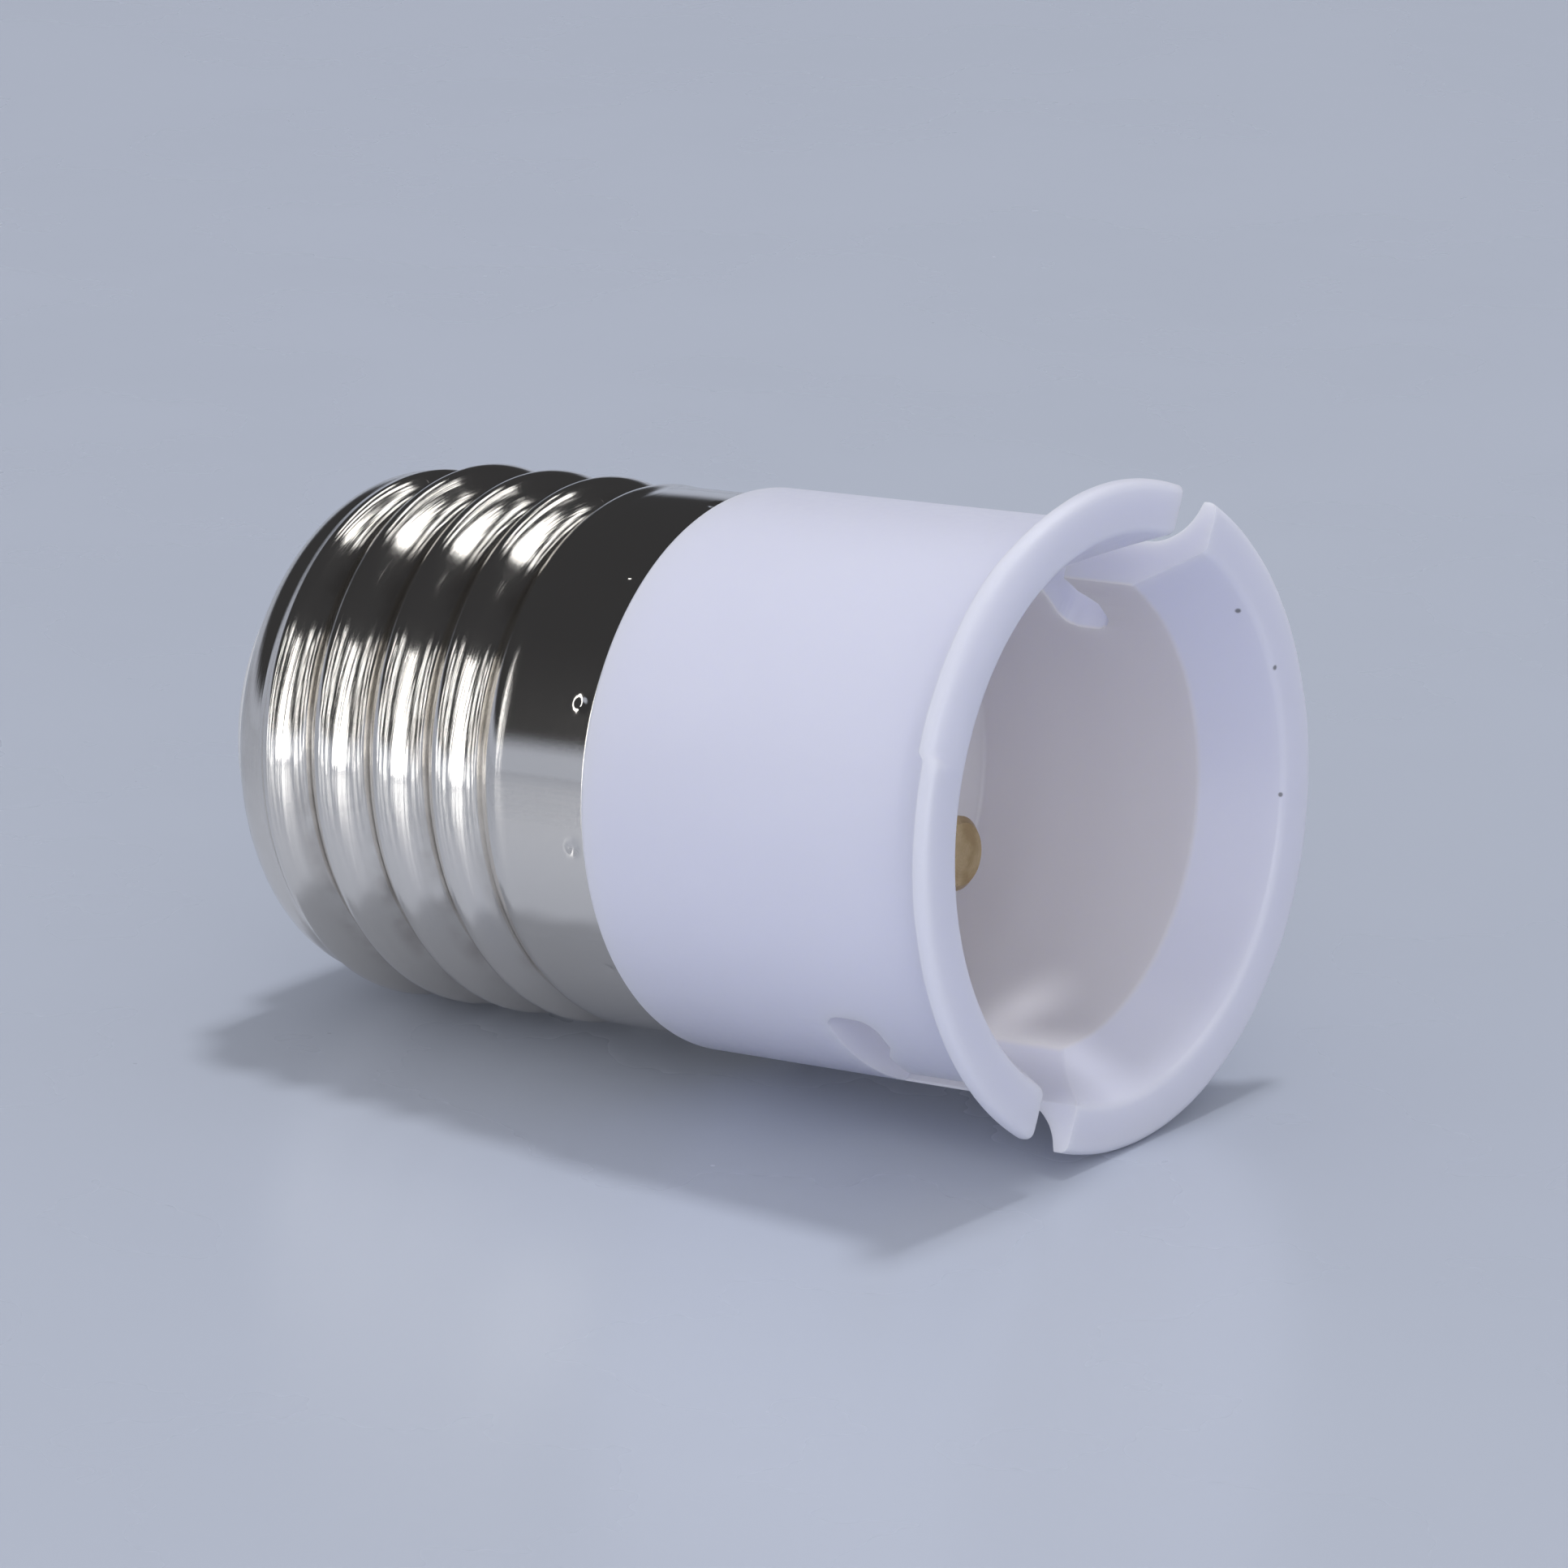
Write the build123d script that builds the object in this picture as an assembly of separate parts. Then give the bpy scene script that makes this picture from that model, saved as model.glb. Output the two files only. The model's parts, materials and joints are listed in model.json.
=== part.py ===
from build123d import *
import math
import os

# Lamp socket adapter: a bayonet lamp holder moulded on top of a screw lamp cap.
# Sizes are in millimetres. Every piece is drawn round the Z axis: depth runs from the front of the
# mouth (Z = 0) towards the cap, and angles run round the axis from the line that faces the ground.
# The finished pieces are then laid on their side, as the adapter rests on its lip and its thread.

# Mouth of the bayonet holder
bore_d = 22.6
wall_t = 2.2
body_depth = 21.4
lip_land = 1.4
lip_edge = 1.3
lip_bevel = 0.4
flare_r = 3.8
flare_turn = 77.0
flare_tapers = 5
neck_turn = 67.0
neck_tapers = 4
bore_depth = 11.6
floor_depth = 16.0
floor_step = 0.18
partition_t = 2.6

# Two bayonet slots: a straight channel with a slanted lead-in, then a leg with a pocket for the pin
slot_count = 2
slot_angle = 26.5
slot_w = 2.6
slot_depth = 9.6
lead_in_angle = 40.0
lead_in_r = 14.4
leg_turn = 29.0
leg_h = 2.25
leg_round = 1.0
pocket_turn = 9.0
pocket_h = 2.9
hump_turn = 5.0
hump_round = 0.5

# Sprung contacts
contact_r = 5.3
contact_angle = -42.0
plunger_d = 3.6
plunger_bevel = 0.3
plunger_travel = 3.4
plunger_stand = 0.6
flange_d = 4.6
flange_t = 1.1
pilot_d = 2.2
pilot_l = 2.0
barrel_d = 5.3
barrel_wall = 0.3
barrel_l = 10.8
boss_wall = 1.1
wire_w = 0.42
coil_d = 3.7
coil_turns = 5
coil_sides = 8

# Terminal strips and the disc that carries them
strip_t = 0.5
strip_w = 4.4
strip_bend = 0.8
strip_overlap = 3.2
shell_tail_l = 6.5
centre_leg_w = 1.8
carrier_t = 2.0
carrier_slot_gap = 0.3

# Screw shell, an E27 knuckle thread rolled in sheet metal
shell_wall = 0.4
crest_d = 26.4
thread_h = 1.1
pitch = 3.629
skirt_l = 4.88
skirt_drop = 0.15
slices_per_turn = 6
slices_before_crest = 5
slices_after_crest = 21
run_in_l = 3.0
run_out_l = 1.4
shell_end_drop = 0.6
shell_end_round = 2.2
shell_end_tapers = 4
shell_rim = 0.2
rim_bevel = 0.65
stake_count = 12
stake_angle = 26.0
stake_inset = 1.0
stake_w = 1.0
stake_tip_w = 0.2
stake_push = 0.25

# Spigot of the body inside the shell, the plug that closes it and the centre contact
collar_clear = 0.88
spigot_wall = 1.6
spigot_gap_to_end = 1.0
plug_skirt_wall = 1.5
plug_web = 4.2
nose_step = 0.6
nose_bevel = 0.6
contact_head_d = 9.5
contact_head_l = 1.6
contact_bevel = 0.4
shank_d = 4.0
shank_bore_d = 2.4
clench_d = 5.8
clench_t = 0.4
leg_in_shank = 2.9

# Clearances
fit_gap = 0.05
bend_gap = 0.2

# Radii and depths that follow from the sizes above
bore_r = bore_d / 2
body_r = bore_r + wall_t
flare_end_r = bore_r + flare_r * (1 - math.cos(math.radians(flare_turn)))
lip_r = flare_end_r + lip_land
crest_r = crest_d / 2
thread_throw = thread_h / 2
thread_mean_r = crest_r - thread_throw
skirt_r = crest_r - skirt_drop
shell_end_r = crest_r - shell_end_drop
skirt_in_r = skirt_r - shell_wall
thread_in_r = crest_r - thread_h - shell_wall
collar_r = skirt_in_r - fit_gap
spigot_r = thread_in_r - fit_gap
carrier_seat_r = spigot_r - spigot_wall
plunger_r = plunger_d / 2
barrel_r = barrel_d / 2
chamber_r = barrel_r + barrel_wall + fit_gap
flare_depth = flare_r * math.sin(math.radians(flare_turn))
neck_r = (lip_r - body_r) / (1 - math.cos(math.radians(neck_turn)))
neck_depth = lip_edge + neck_r * math.sin(math.radians(neck_turn))
leg_end_angle = slot_angle + leg_turn
pocket_angle = leg_end_angle - pocket_turn
hump_angle = pocket_angle - hump_turn
pocket_depth = slot_depth - pocket_h
hump_depth = slot_depth - leg_h
plunger_tip_depth = floor_depth - plunger_travel - plunger_stand
partition_back = floor_depth + partition_t
strip_front = partition_back + barrel_l
carrier_front = strip_front + strip_t
carrier_back = carrier_front + carrier_t
slice_t = pitch / slices_per_turn
thread_start_depth = body_depth + skirt_l
crest_depth = thread_start_depth + slices_before_crest * slice_t
thread_end_depth = crest_depth + slices_after_crest * slice_t
collar_end = thread_start_depth - collar_clear
stake_depth = body_depth + stake_inset
spigot_end = thread_end_depth - spigot_gap_to_end
shell_end_depth = thread_end_depth + shell_end_round
shell_rim_r = shell_end_r - shell_end_round
rim_inside_depth = shell_end_depth - shell_wall
plug_inside_depth = spigot_end + nose_step
nose_depth = plug_inside_depth + plug_web
contact_angles = [contact_angle, contact_angle + 180]
slot_angles = [slot_angle + 360 / slot_count * i for i in range(slot_count)]


def turned(points):
    """Solid of revolution about Z from the corners of an outline, each a radius and a depth."""
    return revolve(Plane.XZ * make_face(Polyline(*points, close=True)), Axis.Z)


def tapers(centre, radius, start, turn, count):
    """Corners of a rounding turned as a row of short tapers, which stay close to its arc."""
    angles = [math.radians(start + turn * i / count) for i in range(count + 1)]
    return [(centre[0] + radius * math.cos(a), centre[1] + radius * math.sin(a)) for a in angles]


def post(radius, start, end):
    """Round bar about Z between two depths."""
    return Pos(0, 0, start) * Cylinder(radius, end - start, align=(Align.CENTER, Align.CENTER, Align.MIN))


def at_contact(angle):
    """Place of a sprung contact's own axis."""
    return Rot(0, 0, angle) * Pos(contact_r, 0, 0)


def channel_cut():
    """Straight part of a bayonet slot, open at the lip, with its slanted lead-in side."""
    half = slot_w / 2
    inside = bore_r - 3 * slot_w / 2
    outside = lip_r + slot_w
    spread = (lead_in_r - inside) * math.tan(math.radians(lead_in_angle))
    outline = Polyline(
        (inside, half),
        (outside, half),
        (outside, -half),
        (lead_in_r, -half),
        (inside, -half - spread),
        close=True,
    )
    return Pos(0, 0, -slot_w) * extrude(make_face(outline), slot_depth + slot_w)


def leg_cut():
    """Turned part of a bayonet slot: a window in the wall, with a hump before the pin's pocket."""
    middle = (slot_angle + leg_end_angle) / 2
    wall_r = (bore_r + body_r) / 2

    def along(angle):
        return wall_r * math.sin(math.radians(angle - middle))

    corners = [
        (along(slot_angle), slot_depth),
        (along(leg_end_angle), slot_depth),
        (along(leg_end_angle), pocket_depth),
        (along(pocket_angle), pocket_depth),
        (along(hump_angle), hump_depth),
        (along(slot_angle), hump_depth),
    ]
    window = make_face(Polyline(*corners, close=True))
    end_corners = window.vertices().sort_by(Axis.X)[-2:]
    window = fillet(end_corners, leg_round)
    hump_corners = window.vertices().sort_by_distance((along(hump_angle), hump_depth))[:1]
    window = fillet(hump_corners, hump_round)
    inside = bore_r - leg_round
    outward = Vector(1, 0, 0).rotate(Axis.Z, middle)
    tangent = Vector(0, 1, 0).rotate(Axis.Z, middle)
    wall_plane = Plane(origin=outward * inside, x_dir=tangent, z_dir=outward)
    return extrude(wall_plane * window, lip_r - inside)


def holder_body():
    """White moulding: flared mouth, bayonet wall, partition with plunger guides, spigot for the shell."""
    floor_r = bore_r - floor_step
    flare = tapers((bore_r + flare_r, flare_depth), flare_r, 180, flare_turn, flare_tapers)
    neck = tapers((body_r + neck_r, neck_depth), neck_r, 180 + neck_turn, -neck_turn, neck_tapers)
    body = turned(
        flare
        + [(lip_r - lip_bevel, 0), (lip_r, lip_bevel)]
        + neck
        + [
            (body_r, body_depth),
            (collar_r, body_depth),
            (collar_r, collar_end),
            (spigot_r, collar_end),
            (spigot_r, spigot_end),
            (carrier_seat_r, spigot_end),
            (carrier_seat_r, partition_back),
            (0, partition_back),
            (0, floor_depth),
            (floor_r, floor_depth),
            (floor_r, bore_depth),
            (bore_r, bore_depth),
        ]
    )
    for angle in contact_angles:
        body += at_contact(angle) * post(chamber_r + boss_wall, partition_back, strip_front)
    for angle in contact_angles:
        body -= at_contact(angle) * post(plunger_r + fit_gap, floor_depth - partition_t, strip_front)
        body -= at_contact(angle) * post(chamber_r, partition_back, strip_front)
    for angle in slot_angles:
        turn = Rot(0, 0, angle - slot_angle)
        body -= turn * Rot(0, 0, slot_angle) * channel_cut()
        body -= turn * leg_cut()
    tail_slot = Box(
        spigot_r,
        strip_w + 2 * bend_gap,
        spigot_end - strip_front,
        align=(Align.MIN, Align.CENTER, Align.MIN),
    )
    body -= Rot(0, 0, contact_angle) * Pos(carrier_seat_r - bend_gap, 0, strip_front) * tail_slot
    return body


def ease(share):
    """Smooth step from 0 to 1."""
    share = min(max(share, 0.0), 1.0)
    return share * share * (3 - 2 * share)


def thread_circle(depth):
    """Slice of the knuckle thread at one depth: a circle thrown off the axis towards the crest."""
    rolled = ease((depth - thread_start_depth) / run_in_l)
    ended = ease((depth - thread_end_depth + run_out_l) / run_out_l)
    radius = skirt_r + rolled * (thread_mean_r - skirt_r)
    radius += ended * (shell_end_r - radius)
    throw = thread_throw * rolled * (1 - ended)
    crest_angle = math.radians(360 * (depth - crest_depth) / pitch)
    return Pos(throw * math.cos(crest_angle), throw * math.sin(crest_angle), depth) * Circle(radius)


def screw_shell():
    """Nickel-plated shell: plain skirt, knuckle thread, rounded end, staked to the body all round."""
    slices = range(-slices_before_crest, slices_after_crest + 1)
    end_round = tapers((shell_rim_r, thread_end_depth), shell_end_round, 0, 90, shell_end_tapers)
    shell = post(skirt_r, body_depth, thread_start_depth)
    shell += loft([thread_circle(crest_depth + slice_t * i) for i in slices], ruled=True)
    shell += turned(end_round + [(0, shell_end_depth), (0, thread_end_depth)])
    rim_hole_r = shell_rim_r - shell_rim
    shell -= turned(
        [
            (0, body_depth),
            (skirt_in_r, body_depth),
            (skirt_in_r, collar_end + fit_gap),
            (thread_in_r, collar_end + fit_gap),
            (thread_in_r, rim_inside_depth - rim_bevel),
            (thread_in_r - rim_bevel, rim_inside_depth),
            (rim_hole_r, rim_inside_depth),
            (rim_hole_r, shell_end_depth),
            (0, shell_end_depth),
        ]
    )
    for i in range(stake_count):
        shell -= Rot(0, 0, stake_angle + 360 / stake_count * i) * Pos(skirt_r, 0, stake_depth) * stake_punch()
    return shell


def stake_punch():
    """Point of the square punch that stakes the shell, driven in along X to its depth at the surface."""
    near = 2 * stake_w
    height = stake_push * (near - stake_tip_w) / (stake_w - stake_tip_w)
    tip_low = (near - stake_tip_w) / 2
    tip_high = (near + stake_tip_w) / 2
    point = Wedge(near, height, near, tip_low, tip_low, tip_high, tip_high)
    return Pos(-stake_push + height / 2, 0, 0) * Rot(0, 0, 90) * point


def base_plug():
    """Insulating plug: a skirt that holds the terminal disc, a flange under the shell's rim, a nose."""
    skirt_out_r = carrier_seat_r - fit_gap
    skirt_bore_r = skirt_out_r - plug_skirt_wall
    flange_r = thread_in_r - fit_gap
    nose_r = shell_rim_r - shell_rim - fit_gap
    shank_hole_r = shank_d / 2 + fit_gap
    return turned(
        [
            (skirt_bore_r, carrier_back),
            (skirt_out_r, carrier_back),
            (skirt_out_r, spigot_end),
            (flange_r, spigot_end),
            (flange_r, rim_inside_depth - fit_gap - rim_bevel),
            (flange_r - rim_bevel, rim_inside_depth - fit_gap),
            (nose_r, rim_inside_depth - fit_gap),
            (nose_r, nose_depth - nose_bevel),
            (nose_r - nose_bevel, nose_depth),
            (shank_hole_r, nose_depth),
            (shank_hole_r, plug_inside_depth),
            (skirt_bore_r, plug_inside_depth),
        ]
    )


def centre_contact():
    """Rivet through the nose: bevelled head outside, hollow shank, clenched flange inside."""
    head_r = contact_head_d / 2
    shank_r = shank_d / 2
    shank_bore_r = shank_bore_d / 2
    head_end = nose_depth + contact_head_l
    clench_front = plug_inside_depth - clench_t
    return turned(
        [
            (shank_bore_r, clench_front),
            (clench_d / 2, clench_front),
            (clench_d / 2, plug_inside_depth),
            (shank_r, plug_inside_depth),
            (shank_r, nose_depth),
            (head_r, nose_depth),
            (head_r, head_end - contact_bevel),
            (head_r - contact_bevel, head_end),
            (0, head_end),
            (0, nose_depth),
            (shank_bore_r, nose_depth),
        ]
    )


def contact_plunger():
    """Turned brass plunger: flat contact face, stop flange behind the partition, pilot for the spring."""
    flange_front = partition_back + fit_gap
    flange_back = flange_front + flange_t
    return turned(
        [
            (0, plunger_tip_depth),
            (plunger_r - plunger_bevel, plunger_tip_depth),
            (plunger_r, plunger_tip_depth + plunger_bevel),
            (plunger_r, flange_front),
            (flange_d / 2, flange_front),
            (flange_d / 2, flange_back),
            (pilot_d / 2, flange_back),
            (pilot_d / 2, flange_back + pilot_l),
            (0, flange_back + pilot_l),
        ]
    )


def plunger_barrel():
    """Brass sleeve that lines the spring chamber and carries the current to its strip."""
    outside = post(barrel_r + barrel_wall, partition_back, strip_front)
    return outside - post(barrel_r, partition_back, strip_front)


def plunger_spring():
    """Compression spring between the plunger's flange and the terminal strip, with ground ends."""
    start = partition_back + flange_t + 2 * fit_gap
    end = strip_front - fit_gap
    steps = coil_turns * coil_sides
    sections = []
    for i in range(steps + 1):
        depth = start + (end - start) * i / steps
        wire = Pos(coil_d / 2, 0, depth) * Rot(90, 0, 0) * Rectangle(wire_w, wire_w)
        sections.append(Rot(0, 0, 360 * i / coil_sides) * wire)
    return loft(sections, ruled=True) & post(coil_d, start, end)


def bent_strip(reach, length, width):
    """Strip along the terminal disc out to a reach, then bent along the axis, centred on the X axis."""
    line = FilletPolyline((0, strip_t / 2), (reach - strip_t / 2, strip_t / 2),
                          (reach - strip_t / 2, length), radius=strip_bend)
    section = trace(line, line_width=strip_t)
    return Pos(0, -width / 2, strip_front) * extrude(Plane.XZ * section, -width)


def shell_strip():
    """Terminal strip of the first contact, bent along the spigot's slot to touch the shell."""
    tail_r = math.sqrt((thread_in_r - fit_gap) ** 2 - (strip_w / 2) ** 2)
    strip = bent_strip(tail_r, shell_tail_l, strip_w)
    inner_end = contact_r - strip_overlap
    strip -= Pos(inner_end, 0, strip_front) * Box(
        contact_r, 2 * strip_w, 2 * strip_t, align=(Align.MAX, Align.CENTER, Align.CENTER)
    )
    return Rot(0, 0, contact_angle) * strip


def centre_strip():
    """Terminal strip of the second contact, bent down the axis into the centre contact's shank."""
    leg_end = plug_inside_depth + leg_in_shank - strip_front
    outer_end = contact_r + strip_overlap
    leg = Pos(outer_end, 0, 0) * Rot(0, 0, 180) * bent_strip(outer_end + strip_t / 2, leg_end, centre_leg_w)
    tab = Pos(contact_r, 0, strip_front) * Box(
        2 * strip_overlap, strip_w, strip_t, align=(Align.CENTER, Align.CENTER, Align.MIN)
    )
    return Rot(0, 0, contact_angle + 180) * (leg + tab)


def terminal_carrier():
    """Insulating disc that backs both strips, with a slot for the centre strip's leg."""
    slot_w_around = centre_leg_w + 2 * carrier_slot_gap
    slot_t_around = strip_t + 2 * strip_bend + 2 * carrier_slot_gap
    slot = Box(slot_t_around, slot_w_around, 4 * carrier_t)
    return post(carrier_seat_r - fit_gap, carrier_front, carrier_back) - (
        Rot(0, 0, contact_angle) * Pos(0, 0, carrier_front) * slot
    )


def lying_place():
    """Place of the drawn axis once the adapter lies on its lip and on the last crest of its thread."""
    turns = math.floor((thread_end_depth - run_out_l - crest_depth) / pitch)
    last_crest = crest_depth + turns * pitch
    tilt = math.atan2(lip_r - crest_r, last_crest - lip_edge)
    down = Vector(math.sin(tilt), 0, -math.cos(tilt))
    towards_cap = Vector(-math.cos(tilt), 0, -math.sin(tilt))
    return Plane(origin=(0, 0, 0), x_dir=down, z_dir=towards_cap).location


def adapter():
    """All pieces by name, laid on the ground with the middle of their box over the origin."""
    pieces = {
        "holder_body": holder_body(),
        "screw_shell": screw_shell(),
        "base_plug": base_plug(),
        "centre_contact": centre_contact(),
        "terminal_carrier": terminal_carrier(),
        "shell_strip": shell_strip(),
        "centre_strip": centre_strip(),
    }
    for letter, angle in zip("ab", contact_angles):
        pieces["contact_plunger_" + letter] = at_contact(angle) * contact_plunger()
        pieces["plunger_barrel_" + letter] = at_contact(angle) * plunger_barrel()
        pieces["plunger_spring_" + letter] = at_contact(angle) * plunger_spring()
    place = lying_place()
    laid = {name: place * piece for name, piece in pieces.items()}
    box = Compound(children=[piece.solid() for piece in laid.values()]).bounding_box()
    ground = Pos(-(box.min.X + box.max.X) / 2, -(box.min.Y + box.max.Y) / 2, -box.min.Z)
    return {name: ground * piece for name, piece in laid.items()}


os.makedirs("parts", exist_ok=True)
for name, piece in adapter().items():
    export_step(piece, "parts/" + name + ".step")
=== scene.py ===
import json
import math

import bmesh
import bpy
from mathutils import Matrix, Vector, noise


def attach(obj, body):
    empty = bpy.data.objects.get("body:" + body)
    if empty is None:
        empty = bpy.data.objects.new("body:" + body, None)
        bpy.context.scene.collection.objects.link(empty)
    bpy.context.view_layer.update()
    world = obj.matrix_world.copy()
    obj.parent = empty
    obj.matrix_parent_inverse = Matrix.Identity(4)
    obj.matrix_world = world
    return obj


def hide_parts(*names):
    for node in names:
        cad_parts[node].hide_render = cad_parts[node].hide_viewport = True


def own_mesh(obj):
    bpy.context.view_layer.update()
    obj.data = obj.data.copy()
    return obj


# The frame. Each piece is drawn upright in millimetres round the Z axis, with its depth from the front of the
# mouth. The lamp bore's mount, which sits halfway down the bore, then says where the adapter lies.
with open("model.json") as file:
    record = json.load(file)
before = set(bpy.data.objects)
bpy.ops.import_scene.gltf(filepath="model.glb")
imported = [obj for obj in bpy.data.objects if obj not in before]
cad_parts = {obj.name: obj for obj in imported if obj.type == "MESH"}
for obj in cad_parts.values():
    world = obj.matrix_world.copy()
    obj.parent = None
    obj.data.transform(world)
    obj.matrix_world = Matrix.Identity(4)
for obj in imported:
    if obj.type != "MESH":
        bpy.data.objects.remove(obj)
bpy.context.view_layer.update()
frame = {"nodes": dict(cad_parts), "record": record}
millimetre, bore_mid_depth = 0.001, 0.00765
bore_mount = next(m for m in frame["record"]["mounts"] if m["name"] == "lamp_bore")
outward = Vector(bore_mount["axis"]).normalized()
mouth = Vector(bore_mount["pos_m"]) + outward * bore_mid_depth
across = Vector((0, -1, 0))
lying = Matrix((across.cross(-outward), across, -outward)).transposed() * millimetre
lying = Matrix.Translation(mouth) @ lying.to_4x4()

# The camera stands off the mouth's right-hand side and looks down a little, through a long lens. Its place is
# taken from the mouth.
camera_stand = Vector((0.18254, -0.26844, 0.09625))
camera_look = Vector((-0.5776, 0.7667, -0.280))
camera = bpy.data.objects.new("camera", bpy.data.cameras.new("camera"))
camera.data.lens = 168.95
camera.data.sensor_width = 36
camera.data.clip_start = 0.02
camera.location = mouth + camera_stand
camera.rotation_mode = "QUATERNION"
camera.rotation_quaternion = camera_look.to_track_quat("-Z", "Y")
bpy.context.scene.collection.objects.link(camera)
bpy.context.scene.camera = camera
bpy.context.scene.view_settings.view_transform = "Standard"


# The studio. A pale blue-grey table runs back to a strip of the same colour along the horizon. Suns and an even
# sky light what is matt. The plated shell sees a dark room instead, with narrow panels that only gloss shows.
class Wire:
    """An output in a node tree. It adds, subtracts and multiplies as a number does."""

    def __init__(self, tree, socket=None):
        self.tree = tree
        self.socket = socket

    def node(self, kind, inputs, output=0, **settings):
        """Output of a new node, after its settings and then its sockets are set or joined."""
        made = self.tree.nodes.new("ShaderNode" + kind)
        for name, value in settings.items():
            setattr(made, name, value)
        for name, value in inputs.items():
            if isinstance(value, Wire):
                self.tree.links.new(value.socket, made.inputs[name])
            else:
                made.inputs[name].default_value = value
        return Wire(self.tree, made.outputs[output])

    def math(self, operation, first, second=0.0):
        return self.node("Math", {0: first, 1: second}, operation=operation)

    def __add__(self, other):
        return self.math("ADD", self, other)

    def __radd__(self, other):
        return self.math("ADD", other, self)

    def __sub__(self, other):
        return self.math("SUBTRACT", self, other)

    def __rsub__(self, other):
        return self.math("SUBTRACT", other, self)

    def __mul__(self, other):
        return self.math("MULTIPLY", self, other)

    def __rmul__(self, other):
        return self.math("MULTIPLY", other, self)


def ramp(wire, low, high, start=0.0, end=1.0):
    """Smooth step of a value from start at low to end at high."""
    inputs = {"Value": wire, "From Min": low, "From Max": high, "To Min": start, "To Max": end}
    return wire.node("MapRange", inputs, interpolation_type="SMOOTHSTEP")


def mix(factor, first, second):
    """Colour between two others, each of them a wire or its red, green and blue."""
    first, second = ((*end, 1) if isinstance(end, tuple) else end for end in (first, second))
    # a Mix node has sockets for every kind of data, and these are its colours
    return factor.node("Mix", {0: factor, 6: first, 7: second}, output=2, data_type="RGBA")


def speckle(here, scale, detail):
    """Noise over a surface, with its scale per millimetre."""
    return here.node("TexNoise", {"Vector": here, "Scale": scale, "Detail": detail})


def material(name, **constants):
    """New material: its shader, and its place in millimetres round the adapter's own axis."""
    made = bpy.data.materials.new(name)
    made.use_nodes = True
    shader = made.node_tree.nodes["Principled BSDF"]
    for socket, value in constants.items():
        shader.inputs[socket.replace("_", " ")].default_value = value
    place, turn, scale = lying.inverted().decompose()
    start = Wire(made.node_tree)
    here = start.node("TexCoord", {}, output="Object")
    inputs = {"Vector": here, "Location": place, "Rotation": turn.to_euler(), "Scale": scale}
    return made, shader, start.node("Mapping", inputs)


def plug(shader, **wires):
    """Join outputs to the shader's sockets."""
    for socket, wire in wires.items():
        wire.tree.links.new(wire.socket, shader.inputs[socket.replace("_", " ")])


def lamp(name, kind, towards, power, **sizes):
    """Lamp that faces the adapter. A panel's long side runs round the adapter's axis."""
    made = bpy.data.objects.new(name, bpy.data.lights.new(name, kind))
    made.data.energy = power
    made.data.color = lamp_colour
    for size, value in sizes.items():
        setattr(made.data, size, value)
    away = Vector(towards).normalized()
    along = Vector((0, -away.z, away.y)).normalized()
    made.location = away * lamp_distance
    made.rotation_mode = "QUATERNION"
    made.rotation_quaternion = Matrix((along.cross(away), along, away)).transposed().to_quaternion()
    made.visible_camera = False
    made.visible_glossy = kind == "AREA"
    made.visible_diffuse = kind == "SUN"
    bpy.context.scene.collection.objects.link(made)


lamp_distance, lamp_colour = 0.7, (0.96, 0.975, 1.0)
lamp("key_lamp", "SUN", (-0.06, 0.27, 0.96), 1.05, angle=math.radians(8))
lamp("room_lamp", "SUN", (-0.30, -0.95, 0.08), 0.68, angle=math.radians(40))
lamp("fill_lamp", "SUN", (0.64, -0.75, 0.16), 0.92, angle=math.radians(50))

# The thread shows each panel as one bright streak on every turn, with dark between them. A front panel is
# given by its turn from the mouth, a top panel by its reach towards the mouth; then width, length and power.
front_panels = [
    (8, 0.08, 0.80, 0.62),
    (38, 0.13, 0.50, 0.95),
    (68, 0.07, 0.85, 0.58),
    (96, 0.07, 0.70, 0.48),
    (124, 0.07, 0.60, 0.40),
]
top_panels = [
    (0.80, 0.07, 0.45, 0.28),
    (0.38, 0.13, 0.30, 0.46),
    (0.02, 0.07, 0.50, 0.32),
    (-0.36, 0.07, 0.40, 0.26),
]
front_height = 0.37
top_back, top_height = 0.35, 0.87
for turn, width, length, power in front_panels:
    towards = (math.cos(math.radians(turn)), -math.sin(math.radians(turn)), front_height)
    lamp("front_panel", "AREA", towards, power, shape="RECTANGLE", size=width, size_y=length)
for reach, width, length, power in top_panels:
    towards = (reach, top_back, top_height)
    lamp("top_panel", "AREA", towards, power, shape="RECTANGLE", size=width, size_y=length)

strip_low, strip_high = 0.10, 0.24
strip_colour, dark_room, even_sky = (0.43, 0.47, 0.57), (0.04, 0.041, 0.045), (0.61, 0.62, 0.64)
world = bpy.data.worlds.new("room")
world.use_nodes = True
bpy.context.scene.world = world
room = Wire(world.node_tree)
height = room.node("SeparateXYZ", {"Vector": room.node("TexCoord", {}, output="Generated")}, output=2)
reflected = mix(ramp(height, strip_low, strip_high), strip_colour, dark_room)
rays = ("Is Camera Ray", "Is Glossy Ray", "Is Transmission Ray")
seen = sum(room.node("LightPath", {}, output=ray) for ray in rays)
glow = mix(seen, even_sky, reflected)
world.node_tree.links.new(glow.socket, world.node_tree.nodes["Background"].inputs["Color"])

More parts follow.
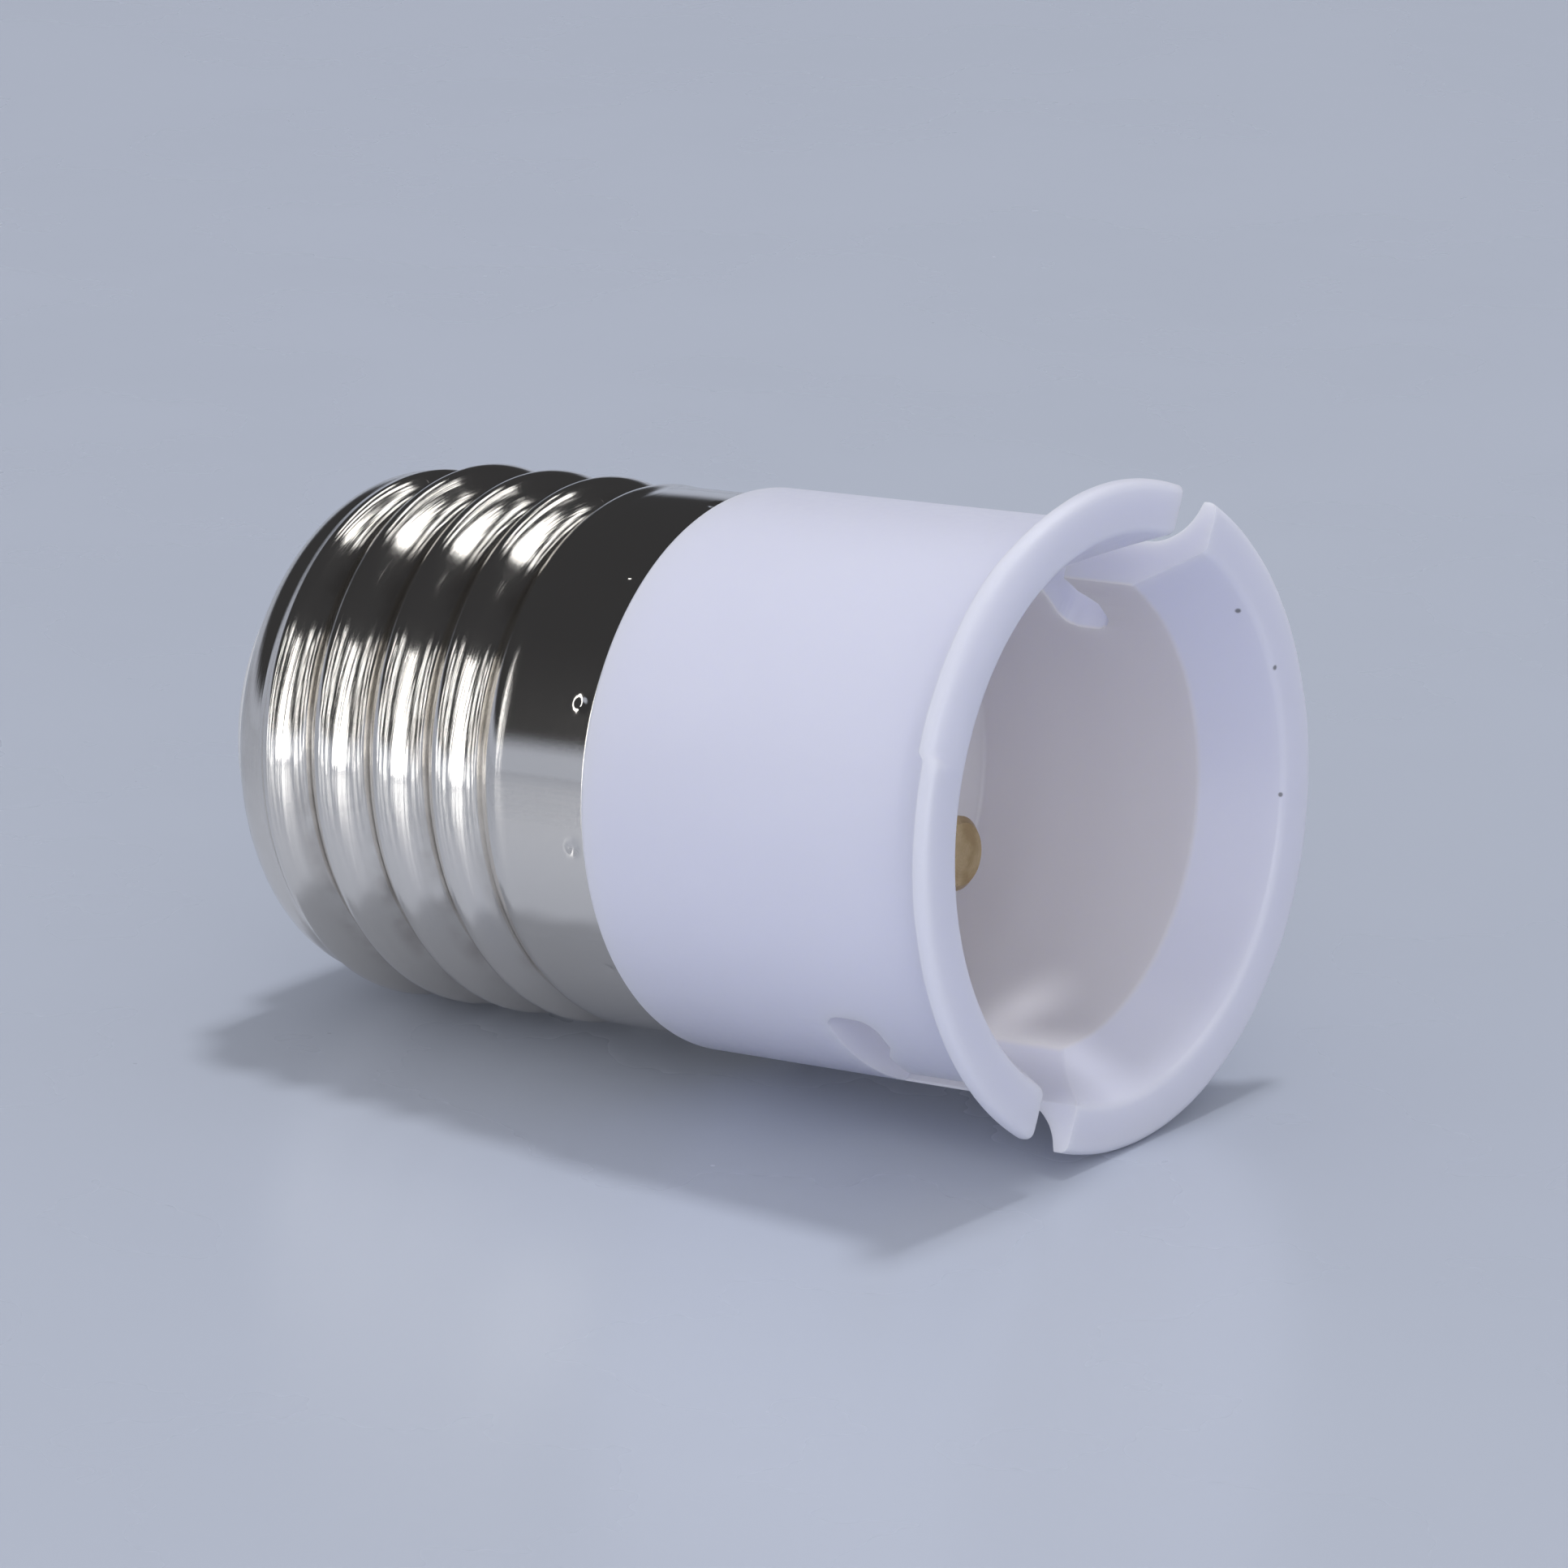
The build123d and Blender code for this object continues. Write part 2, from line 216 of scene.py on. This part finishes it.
table_size = 3.0
table_dull, table_clear = (0.48, 0.515, 0.605), (0.49, 0.525, 0.615)
bm = bmesh.new()
bmesh.ops.create_grid(bm, x_segments=8, y_segments=8, size=table_size)
table_mesh = bpy.data.meshes.new("table")
bm.to_mesh(table_mesh)
bm.free()
table = bpy.data.objects.new("table", table_mesh)
bpy.context.scene.collection.objects.link(table)
paint, shader, here = material("table_paint", Specular_IOR_Level=0.22)
cloud = speckle(here, 0.012, 2.0)
smear = speckle(here, 0.05, 4.0)
plug(shader, Base_Color=mix(cloud, table_dull, table_clear))
plug(shader, Roughness=ramp(smear, 0.3, 0.7, 0.25, 0.31))
table.data.materials.append(paint)


# The white moulding: a flared mouth with a flat lip, a neck behind it, the bayonet wall with its two slots,
# the partition with the guides of the contacts, and the spigot that the shell is pushed on.
def arc(centre, radius, start, end, count):
    """Corners along a rounding of an outline, from one angle in degrees to another."""
    turns = [math.radians(start + (end - start) * i / count) for i in range(count + 1)]
    return [(centre[0] + radius * math.cos(a), centre[1] + radius * math.sin(a)) for a in turns]


def eased(corners, steps=4):
    """Outline with its corners rounded off: each a radius, a depth and the reach of the rounding."""
    line = []
    for i, (r, depth, reach) in enumerate(corners):
        corner = Vector((r, depth))
        if reach:
            before = (Vector(corners[i - 1][:2]) - corner).normalized() * reach
            after = (Vector(corners[i + 1][:2]) - corner).normalized() * reach
            shares = [k / steps for k in range(steps + 1)]
            line += [tuple(corner + before * (1 - t) ** 2 + after * t**2) for t in shares]
        else:
            line.append((r, depth))
    return line


def ease(share):
    """Smooth step from 0 to 1."""
    share = min(max(share, 0.0), 1.0)
    return share * share * (3 - 2 * share)


def turned(outline, steps, closed):
    """Mesh turned round the Z axis from an outline's radii and depths."""
    bm = bmesh.new()
    ring = [bm.verts.new((r, 0, depth)) for r, depth in outline]
    first = 0 if closed else 1
    line = [bm.edges.new((ring[i - 1], ring[i])) for i in range(first, len(ring))]
    turn = {"cent": (0, 0, 0), "axis": (0, 0, 1), "angle": 2 * math.pi}
    bmesh.ops.spin(bm, geom=ring + line, steps=steps, use_merge=True, **turn)
    bmesh.ops.remove_doubles(bm, verts=bm.verts, dist=0.0005)
    bmesh.ops.recalc_face_normals(bm, faces=bm.faces)
    return bm


def pin(radius, front, back, steps=64):
    """Plain round pin between two depths."""
    return turned([(0, front), (radius, front), (radius, back), (0, back)], steps, False)


def prism(corners, height, rounded=()):
    """Upright block on a flat outline, with some of its corners rounded: index, reach."""
    bm = bmesh.new()
    ring = [bm.verts.new((x, y, 0)) for x, y in corners]
    bm.faces.new(ring)
    for index, reach in rounded:
        rounding = {"offset": reach, "segments": 6, "profile": 0.5, "material": -1}
        bmesh.ops.bevel(bm, geom=[ring[index]], affect="VERTICES", **rounding)
    made = bmesh.ops.extrude_face_region(bm, geom=bm.faces[:])
    top = [v for v in made["geom"] if isinstance(v, bmesh.types.BMVert)]
    bmesh.ops.translate(bm, verts=top, vec=(0, 0, height))
    bmesh.ops.recalc_face_normals(bm, faces=bm.faces)
    return bm


def piece(name, bm, place=None, crease=34):
    """Object from a mesh, smooth but for its edges, left in millimetres unless it is given its place."""
    for face in bm.faces:
        face.smooth = True
    for edge in bm.edges:
        edge.smooth = len(edge.link_faces) == 2 and edge.calc_face_angle() < math.radians(crease)
    if place:
        bm.transform(place)
    mesh = bpy.data.meshes.new(name)
    bm.to_mesh(mesh)
    bm.free()
    made = bpy.data.objects.new(name, mesh)
    bpy.context.scene.collection.objects.link(made)
    return made


def carve(base, cutters, operation):
    """Mesh of a piece after others are cut from it or joined to it; all of them are used up."""
    for cutter in cutters:
        step = base.modifiers.new(cutter.name, "BOOLEAN")
        step.operation = operation
        step.solver = "EXACT"
        step.object = cutter
    bpy.context.view_layer.update()
    solved = base.evaluated_get(bpy.context.evaluated_depsgraph_get())
    bm = bmesh.new()
    bm.from_mesh(solved.to_mesh())
    for used in [base, *cutters]:
        bpy.data.objects.remove(used)
    return bm


def emboss(shader, height, strength, distance):
    """Fine relief on a material."""
    inputs = {"Height": height, "Strength": strength, "Distance": distance}
    plug(shader, Normal=height.node("Bump", inputs))


def parts_of(here):
    """Distances of a place from the adapter's axis both ways across, and its depth."""
    return [here.node("SeparateXYZ", {"Vector": here}, output=i) for i in range(3)]


def length_of(first, second):
    """Length of two distances at right angles."""
    return first.math("SQRT", first * first + second * second)


bore_r, body_r, lip_r, flare_end_r, lip_flat_r = 11.3, 13.5, 15.64, 13.3, 14.5
flare_depth, lip_edge = 3.65, 0.8
neck_round, neck_depth = 2.5957, 3.3563
deep_bore_r, narrowing_start, narrowing_end = 11.12, 10.5, 12.7
floor_depth, partition_back, strip_front = 16.0, 18.6, 29.4
wall_mid, body_back, back_round = 13.0, 21.4, 0.25
seat_r, seat_end = 12.6, 25.4
spigot_r, spigot_bore_r, spigot_end = 11.65, 10.05, 41.0057

mouth_line = [(0, floor_depth, 0), (deep_bore_r, floor_depth, 0.3)]
mouth_line += [(deep_bore_r, narrowing_end, 0.8), (bore_r, narrowing_start, 0.8)]
mouth_line += [(bore_r, flare_depth, 0.16), (flare_end_r, 0, 0.32), (lip_flat_r, 0, 0)]
mouth_line += [(lip_r, 0, 0.5), (lip_r, lip_edge, 0.12)]
# one more point says which way the back of the lip runs, and is then dropped
outline = eased(mouth_line + [(lip_r - 0.2, lip_edge, 0)])[:-1]
outline += arc((body_r + neck_round, neck_depth), neck_round, 255, 180, 16)
outline += [(body_r, wall_mid)]
outline += arc((body_r - back_round, body_back - back_round), back_round, 0, 90, 4)
outline += [(seat_r, body_back), (seat_r, seat_end), (spigot_r, seat_end), (spigot_r, spigot_end)]
outline += [(spigot_bore_r, spigot_end), (spigot_bore_r, partition_back), (0, partition_back)]
body = piece("body_blank", turned(outline, 288, False))

# behind the partition each contact has a boss, hollow for its spring, with a narrow guide to the front
contact_turns, contact_r = [-42.0, 138.0], 5.3
boss_r, boss_root = 4.1, partition_back - 1
chamber_r, chamber_end = 3.0, 30.0
guide_r, guide_front, guide_back = 1.85, 15.0, 19.0
bosses, cuts = [], []
for turn in contact_turns:
    axis = Matrix.Rotation(math.radians(turn), 4, "Z") @ Matrix.Translation((contact_r, 0, 0))
    bosses.append(piece("boss", pin(boss_r, boss_root, strip_front), axis))
    cuts.append(piece("chamber", pin(chamber_r, partition_back, chamber_end), axis))
    cuts.append(piece("guide", pin(guide_r, guide_front, guide_back), axis))

# each slot is a channel from the lip, slanted on one side of its lead-in, and a leg that runs round the wall to
# a pocket behind a hump
slot_turn, slot_w, slot_depth = 27.2, 2.9, 9.8
slot_inner_r, slot_outer_r, lead_in_slant = 8.4, 18.5, 47
lead_in = (flare_end_r - slot_inner_r) * math.tan(math.radians(lead_in_slant))
side = slot_w / 2
channel = [(slot_inner_r, side), (slot_outer_r, side), (slot_outer_r, -side)]
channel += [(flare_end_r, -side), (slot_inner_r, -side - lead_in)]
leg_turn, leg_r, leg_end = 14.15, 10.3, 3.031
leg_front, pocket_front, hump_start, hump_end = 7.55, 6.9, 0.032, 1.113
leg = [(-leg_end, slot_depth), (leg_end, slot_depth), (leg_end, pocket_front)]
leg += [(hump_end, pocket_front), (hump_start, leg_front), (-leg_end, leg_front)]
leg_rounds = [(1, 1.0), (2, 1.0), (4, 0.14)]
standing = Matrix(((0, 0, 1, leg_r), (1, 0, 0, 0), (0, 1, 0, 0), (0, 0, 0, 1)))
past_lip = Matrix.Translation((0, 0, -slot_w))
for turn in (slot_turn, slot_turn + 180):
    at_slot = Matrix.Rotation(math.radians(turn), 4, "Z")
    at_leg = Matrix.Rotation(math.radians(turn + leg_turn), 4, "Z")
    cuts.append(piece("channel", prism(channel, slot_depth + slot_w), at_slot @ past_lip))
    cuts.append(piece("leg", prism(leg, lip_r - leg_r, leg_rounds), at_leg @ standing))
bm = carve(body, bosses, "UNION")
bm = carve(piece("body_joined", bm), cuts, "DIFFERENCE")
sliver = 0.01
bmesh.ops.remove_doubles(bm, verts=bm.verts, dist=sliver)
bmesh.ops.dissolve_degenerate(bm, edges=bm.edges, dist=sliver)

slot_edge_round, slot_edge_angle, slot_end = 0.06, 32, 11
sharp = []
for edge in bm.edges:
    if len(edge.link_faces) == 2 and edge.calc_face_angle() > math.radians(slot_edge_angle):
        if max(v.co.z for v in edge.verts) < slot_end:
            sharp.append(edge)
rounding = {"offset": slot_edge_round, "segments": 2, "profile": 0.5, "material": -1}
bmesh.ops.bevel(bm, geom=sharp, affect="EDGES", **rounding)
bmesh.ops.recalc_face_normals(bm, faces=bm.faces)

# the lip is worn back on one side as far as a nick, and its edge is not quite true anywhere
worn_r, worn_reach, worn_back = 14.4, 1.1, 0.32
worn_start, worn_step, worn_end, worn_fade = 113, 1.5, 140, 30
nick_turn, nick_side, nick_back = 113.5, 1.2, 0.2
for v in bm.verts:
    r = math.hypot(v.co.x, v.co.y)
    turn = math.degrees(math.atan2(v.co.y, v.co.x)) % 360
    if r > worn_r and v.co.z < 1:
        worn = ease((turn - worn_start) / worn_step) * (1 - ease((turn - worn_end) / worn_fade))
        nick = 1 - ease(abs(turn - nick_turn) / nick_side)
        uneven = max(noise.noise(v.co * 0.45) * 0.05, 0)
        v.co.z += ease((r - worn_r) / worn_reach) * (worn_back * worn + nick_back * nick + uneven)
body = piece("body", bm, lying)

white_dull, white_clear = (0.665, 0.67, 0.79), (0.695, 0.70, 0.815)
# the bore's colour is painted shade: a greyer, less blue white that stands in for the shade inside the bore
bore_shade_white, speck_colour = (0.75, 0.73, 0.77), (0.10, 0.10, 0.11)
specks = [((-7.54, -10.60, 0.57), 0.20), ((-4.38, -12.72, 0.0), 0.17), ((1.90, -13.07, 0.19), 0.15)]
glow_through = {"Subsurface_Weight": 0.6, "Subsurface_Scale": 0.002, "Subsurface_Radius": (1.0, 1.0, 1.1)}
white, shader, here = material("white_moulding", IOR=1.49, **glow_through)
flow = speckle(here, 0.12, 3.0)
grain = speckle(here, 2.2, 4.0)
dirt = 0.0
for place, size in specks:
    away = here.node("VectorMath", {0: here, 1: place}, output=1, operation="DISTANCE")
    dirt = dirt + ramp(away, 0.4 * size, size, 0.8, 0.0)
x, y, depth = parts_of(here)
# painted shade: behind the flare the bore's white turns greyer and less blue, standing in for the shade inside
# it
in_bore = ramp(length_of(x, y), bore_r, bore_r + 0.2, 1.0, 0.0)
bore_shade_mask = in_bore * ramp(depth, flare_depth - 0.25, flare_depth + 0.15)
tone_with_bore_shade = mix(bore_shade_mask, mix(flow, white_dull, white_clear), bore_shade_white)
plug(shader, Base_Color=mix(dirt, tone_with_bore_shade, speck_colour))
plug(shader, Roughness=ramp(grain, 0.3, 0.7, 0.30, 0.40))
emboss(shader, grain, 0.05, 0.00005)
body.modifiers.new("even", "WEIGHTED_NORMAL").keep_sharp = True
body.data.materials.append(white)
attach(body, "holder")
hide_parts("holder_body")


# The plated screw shell: a plain skirt staked to the body by twelve punch marks, a knuckle thread rolled in
# the sheet with round crests and roots, and an end that turns in over the plug.
pitch, thread_h, rings_per_turn = 3.629, 1.1, 22
thread_start, thread_end, first_crest = 26.28, 42.0057, 29.3042
run_in, run_out = 3.0, 1.4
skirt_r, thread_mean_r, shell_end_r, end_round = 13.05, 12.65, 12.6, 2.2
skirt_bore_r, skirt_edge, skirt_step = 12.65, 0.12, 25.45
shell_bore_r, rim_r, shell_end, rim_sheet, rim_slant = 11.7, 10.2, 44.2057, 0.4, 0.65
stake_count, stake_turn, stake_depth, stake_w, stake_push = 12, 26.0, 22.3, 1.0, 0.09
stake_rings, stake_ring_start, stake_ring_gap, skirt_mid, crowding = 16, 21.7, 0.1, 24.4, 0.8

outline = [(skirt_bore_r, skirt_step), (skirt_bore_r, body_back)]
outline += arc((skirt_r - skirt_edge, body_back + skirt_edge), skirt_edge, -90, 0, 3)
outline += [(skirt_r, stake_ring_start + stake_ring_gap * i) for i in range(stake_rings)]
outline += [(skirt_r, skirt_mid)]
rings = round((thread_end - thread_start) / pitch * rings_per_turn)
outline += [(skirt_r, thread_start + (thread_end - thread_start) * i / rings) for i in range(rings)]
outline += arc((shell_end_r - end_round, thread_end), end_round, 0, 90, 10)
outline += [(rim_r, shell_end), (rim_r, shell_end - rim_sheet)]
outline += [(shell_bore_r - rim_slant, shell_end - rim_sheet)]
outline += [(shell_bore_r, shell_end - rim_sheet - rim_slant), (shell_bore_r, skirt_step)]
bm = turned(outline, 360, True)
for v in bm.verts:
    depth = v.co.z
    r = math.hypot(v.co.x, v.co.y)
    turn = math.atan2(v.co.y, v.co.x)
    # the mesh is crowded towards the punch marks, which are small
    off_stake = stake_count * (turn - math.radians(stake_turn))
    turn -= crowding / stake_count * math.sin(off_stake)
    outer = r > skirt_r - 0.01
    if outer and thread_start <= depth < thread_end:
        rolled = ease((depth - thread_start) / run_in)
        ended = ease((depth - thread_end + run_out) / run_out)
        wave = thread_h / 2 * math.cos(turn - 2 * math.pi * (depth - first_crest) / pitch)
        r = skirt_r + rolled * (thread_mean_r - skirt_r)
        r += ended * (shell_end_r - r) + wave * rolled * (1 - ended)
    elif outer and depth < thread_start:
        gap = 2 * math.pi / stake_count
        aside = (turn - math.radians(stake_turn) + gap / 2) % gap - gap / 2
        share = math.hypot(aside * skirt_r, depth - stake_depth) / (stake_w / 2)
        r -= stake_push * ease(1 - share)
    v.co = (r * math.cos(turn), r * math.sin(turn), depth)
shell = piece("shell", bm, lying)

# the second nickel colour is the darker one towards the thread roots and inside the shell
nickel_bright, nickel_dark = (0.80, 0.76, 0.70), (0.55, 0.51, 0.46)
darkest_r, bright_r = 12.0, 12.7
drawn_start, drawn_full = 26.0, 28.5
nickel, shader, here = material("nickel_plate", Metallic=1.0)
x, y, depth = parts_of(here)
radius = length_of(x, y)
# the rollers leave fine lines round the shell, which the noise gets by being stretched that way
stretched = {"X": here.math("ARCTAN2", y, x) * 0.12, "Y": radius * 0.3, "Z": depth * 4.0}
drawn = here.node("CombineXYZ", stretched)
lines = here.node("TexNoise", {"Vector": drawn, "Scale": 1.6, "Detail": 6.0, "Roughness": 0.62})
haze = speckle(here, 0.35, 3.0)
pits = speckle(here, 7.0, 2.0)
# darker and a little rougher in patches where the shell's radius is small: in the thread roots, on the
# turned-in end and inside
root_darkening = ramp(radius, darkest_r, bright_r, 1.0, 0.0) * ramp(haze, 0.35, 0.7)
rolled = ramp(depth, drawn_start, drawn_full)
plug(shader, Base_Color=mix(root_darkening, nickel_bright, nickel_dark))
plug(shader, Roughness=0.06 + rolled * 0.02 + lines * 0.04 + root_darkening * 0.06)
emboss(shader, lines * (0.15 + rolled) + pits * 0.08, 0.1, 0.00012)
shell.data.materials.append(nickel)
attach(shell, "holder")
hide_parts("screw_shell")


# The sprung contacts: two turned brass plungers in the partition, their sleeves and the strips behind them.
# The brass shows the rings of the tool on each contact's own axis.
def coat(names, finish):
    """Give CAD pieces their finish."""
    for name in names:
        for held in frame["nodes"][name].material_slots:
            held.material = finish


brass_bright, brass_stained = (0.63, 0.50, 0.29), (0.46, 0.34, 0.18)
brass, shader, here = material("turned_brass", Metallic=1.0)
x, y, _ = parts_of(here)
cosine, sine = math.cos(math.radians(contact_turns[0])), math.sin(math.radians(contact_turns[0]))
along = here.math("ABSOLUTE", x * cosine + y * sine) - contact_r
beside = y * cosine - x * sine
rings = here.math("SINE", length_of(along, beside) * 42.0)
stain = speckle(here, 0.8, 4.0)
plug(shader, Base_Color=mix(ramp(stain, 0.35, 0.7), brass_bright, brass_stained))
plug(shader, Roughness=ramp(stain, 0.3, 0.75, 0.26, 0.42))
emboss(shader, rings + stain, 0.12, 0.00005)
coat(["contact_plunger_a", "contact_plunger_b", "plunger_barrel_a", "plunger_barrel_b"], brass)
coat(["shell_strip", "centre_strip"], brass)

# The springs behind the plungers: round steel wire, wound in five open turns inside the sleeves. Each stands on
# its strip.
wire_r, coil_r, coil_turns, coil_steps = 0.21, 1.85, 5, 28
coil_start, coil_end, plunger_travel = 19.8, 29.35, 3.4
steel_dark, steel_bright = (0.50, 0.50, 0.52), (0.62, 0.62, 0.63)
steel, shader, here = material("spring_wire", Metallic=1.0)
drag = speckle(here, 3.0, 3.0)
plug(shader, Base_Color=mix(drag, steel_dark, steel_bright))
plug(shader, Roughness=ramp(drag, 0.3, 0.7, 0.24, 0.36))
for letter, turn in zip("ab", contact_turns):
    bm = bmesh.new()
    bmesh.ops.create_circle(bm, segments=10, radius=wire_r, cap_ends=True)
    upright = Matrix.Translation((coil_r, 0, coil_start + wire_r)) @ Matrix.Rotation(math.pi / 2, 4, "X")
    bmesh.ops.transform(bm, verts=bm.verts, matrix=upright)
    steps = coil_turns * coil_steps
    rise = (0, 0, (coil_end - coil_start - 2 * wire_r) / steps)
    turning = {"cent": (0, 0, 0), "axis": (0, 0, 1), "angle": 2 * math.pi * coil_turns}
    bmesh.ops.spin(bm, geom=bm.faces[:], steps=steps, dvec=rise, **turning)
    bmesh.ops.recalc_face_normals(bm, faces=bm.faces)
    axis = Matrix.Rotation(math.radians(turn), 4, "Z") @ Matrix.Translation((contact_r, 0, 0))
    coil = piece("coil_" + letter, bm, lying @ axis)
    coil.data.materials.append(steel)
    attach(coil, "holder")
    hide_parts("plunger_spring_" + letter)
    share = 1 - plunger_travel / (coil_end - coil_start)
    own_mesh(coil)

# The terminal disc: brown laminated board, punched round. It backs both strips and keeps them apart from what
# lies behind it in the cap.
board_dark, board_pale = (0.30, 0.17, 0.09), (0.42, 0.27, 0.16)
board, shader, here = material("laminated_board", Specular_IOR_Level=0.3)
fibre = speckle(here, 1.4, 6.0)
plug(shader, Base_Color=mix(fibre, board_dark, board_pale))
plug(shader, Roughness=ramp(fibre, 0.3, 0.7, 0.55, 0.75))
coat(["terminal_carrier"], board)

# The plug that closes the cap: a plain white moulding, a little yellower than the body, held under the rim of
# the shell.
plug_dull, plug_clear = (0.66, 0.66, 0.68), (0.72, 0.72, 0.74)
insulator, shader, here = material("plug_moulding", IOR=1.49)
flow = speckle(here, 0.25, 4.0)
grain = speckle(here, 3.0, 3.0)
plug(shader, Base_Color=mix(flow, plug_dull, plug_clear))
plug(shader, Roughness=ramp(grain, 0.3, 0.7, 0.38, 0.52))
emboss(shader, grain, 0.08, 0.00005)
coat(["base_plug"], insulator)

# The centre contact: a tinned rivet through the nose of the plug, scuffed where it has met a holder, with the
# rings of the tool still on it.
tin_bright, tin_scuffed = (0.66, 0.63, 0.56), (0.58, 0.54, 0.45)
tinned, shader, here = material("tinned_contact", Metallic=1.0)
x, y, _ = parts_of(here)
scuff = speckle(here, 0.9, 5.0)
rings = here.math("SINE", length_of(x, y) * 30.0)
plug(shader, Base_Color=mix(ramp(scuff, 0.4, 0.7), tin_bright, tin_scuffed))
plug(shader, Roughness=ramp(scuff, 0.3, 0.7, 0.24, 0.44))
emboss(shader, rings * 0.4 + scuff, 0.10, 0.00006)
coat(["centre_contact"], tinned)
